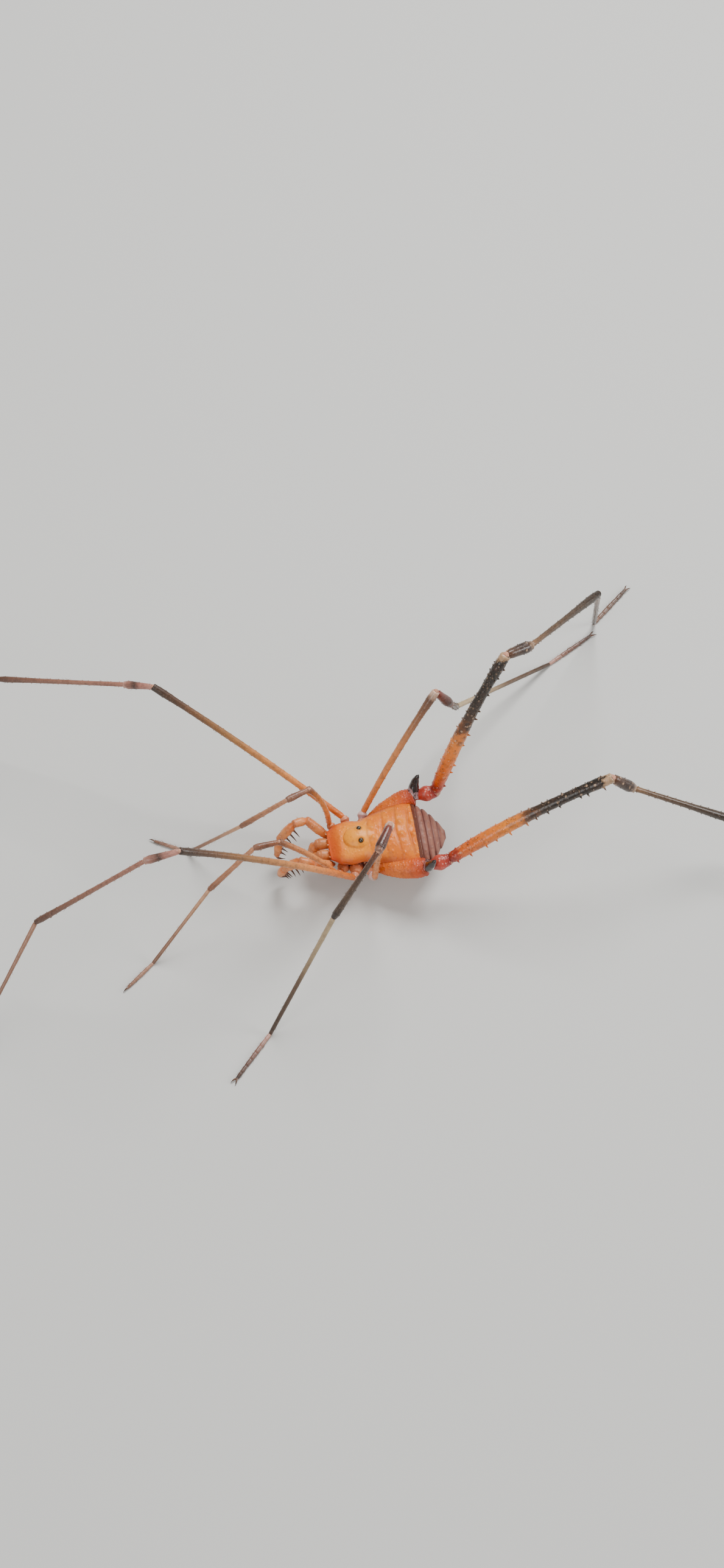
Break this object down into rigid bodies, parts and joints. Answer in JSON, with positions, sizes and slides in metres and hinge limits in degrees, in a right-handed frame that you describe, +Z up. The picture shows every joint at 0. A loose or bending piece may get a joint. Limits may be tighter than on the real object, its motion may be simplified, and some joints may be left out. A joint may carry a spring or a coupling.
{
  "type": "harvestman (armoured tropical harvestman, walking)",
  "caption": "Life-size still model of a long-legged armoured harvestman, orange shield, dark spiny hind legs, standing on its feet.",
  "frame": {"origin": "middle of the box round the whole animal, at floor level", "axes": "+Y from the head to the rear (the head points along -Y), +X to the animal's left, +Z up"},
  "size_m": [0.045, 0.0724, 0.0167],
  "materials": {
    "orange_shield": "waxy satin, bright orange",
    "eye_cuticle": "wet black gloss",
    "mauve_tergites": "dusty mauve",
    "orange_coxa": "waxy satin, redder orange, spur black",
    "belly_cuticle": "satin tan orange",
    "mouth_cuticle": "satin peach",
    "red_trochanter": "satin salmon red",
    "hind_femur": "satin orange that turns to speckled black",
    "pale_femur": "satin peach that turns brown",
    "dark_patella": "satin dark purple-brown",
    "brown_tibia": "satin dark brown",
    "foot_cuticle": "dull brown, pale near the ankle"
  },
  "bodies": {
    "root": {"anal_plate": "mauve_tergites", "belly": "belly_cuticle", "chelicera_base_left": "mouth_cuticle", "chelicera_base_right": "mouth_cuticle", "chelicera_hand_left": "mouth_cuticle", "chelicera_hand_right": "mouth_cuticle", "coxa_4_left": "orange_coxa", "coxa_4_right": "orange_coxa", "eye_left": "eye_cuticle", "eye_right": "eye_cuticle", "free_tergite_1": "mauve_tergites", "free_tergite_2": "mauve_tergites", "free_tergite_3": "mauve_tergites", "leg_1_left_femur": "pale_femur", "leg_1_left_foot": "foot_cuticle", "leg_1_left_patella": "dark_patella", "leg_1_left_tibia": "brown_tibia", "leg_1_left_trochanter": "red_trochanter", "leg_1_right_femur": "pale_femur", "leg_1_right_foot": "foot_cuticle", "leg_1_right_patella": "dark_patella", "leg_1_right_tibia": "brown_tibia", "leg_1_right_trochanter": "red_trochanter", "leg_2_left_femur": "pale_femur", "leg_2_left_foot": "foot_cuticle", "leg_2_left_patella": "dark_patella", "leg_2_left_tibia": "brown_tibia", "leg_2_left_trochanter": "red_trochanter", "leg_2_right_femur": "pale_femur", "leg_2_right_foot": "foot_cuticle", "leg_2_right_patella": "dark_patella", "leg_2_right_tibia": "brown_tibia", "leg_2_right_trochanter": "red_trochanter", "leg_3_left_femur": "pale_femur", "leg_3_left_foot": "foot_cuticle", "leg_3_left_patella": "dark_patella", "leg_3_left_tibia": "brown_tibia", "leg_3_left_trochanter": "red_trochanter", "leg_3_right_femur": "pale_femur", "leg_3_right_foot": "foot_cuticle", "leg_3_right_patella": "dark_patella", "leg_3_right_tibia": "brown_tibia", "leg_3_right_trochanter": "red_trochanter", "leg_4_left_femur": "hind_femur", "leg_4_left_foot": "foot_cuticle", "leg_4_left_patella": "dark_patella", "leg_4_left_tibia": "brown_tibia", "leg_4_left_trochanter": "red_trochanter", "leg_4_right_femur": "hind_femur", "leg_4_right_foot": "foot_cuticle", "leg_4_right_patella": "dark_patella", "leg_4_right_tibia": "brown_tibia", "leg_4_right_trochanter": "red_trochanter", "pedipalp_left_femur": "mouth_cuticle", "pedipalp_left_tarsus": "mouth_cuticle", "pedipalp_left_tibia": "mouth_cuticle", "pedipalp_right_femur": "mouth_cuticle", "pedipalp_right_tarsus": "mouth_cuticle", "pedipalp_right_tibia": "mouth_cuticle", "scutum": "orange_shield"}
  },
  "joints": []
}
